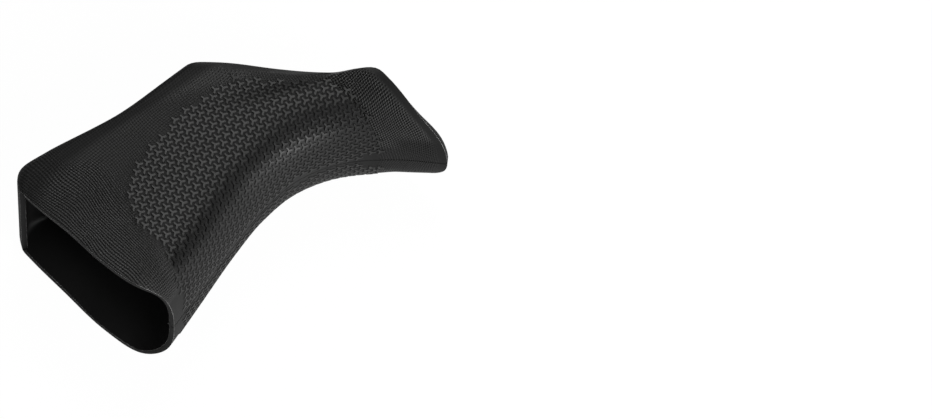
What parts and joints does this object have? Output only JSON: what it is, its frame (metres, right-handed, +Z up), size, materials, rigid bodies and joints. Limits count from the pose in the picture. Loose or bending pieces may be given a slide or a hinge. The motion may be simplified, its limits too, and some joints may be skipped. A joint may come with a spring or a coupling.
{
  "type": "brake lever hood",
  "caption": "Moulded rubber sleeve for a drop-bar brake lever, open at front and back, with a dipped palm rest, flared back edge and textured grip.",
  "frame": {"origin": "under the middle of the hood's footprint, at the height of what it lies on", "axes": "the hood lies on its side: +X to the front opening where the lever leaves it, +Y to the crown that the palm rests on, +Z up, across its width"},
  "size_m": [0.1046, 0.0554, 0.0404],
  "materials": {
    "rubber": "matte moulded rubber with a fine moulded texture"
  },
  "bodies": {
    "root": {"hood": "rubber"}
  },
  "joints": []
}
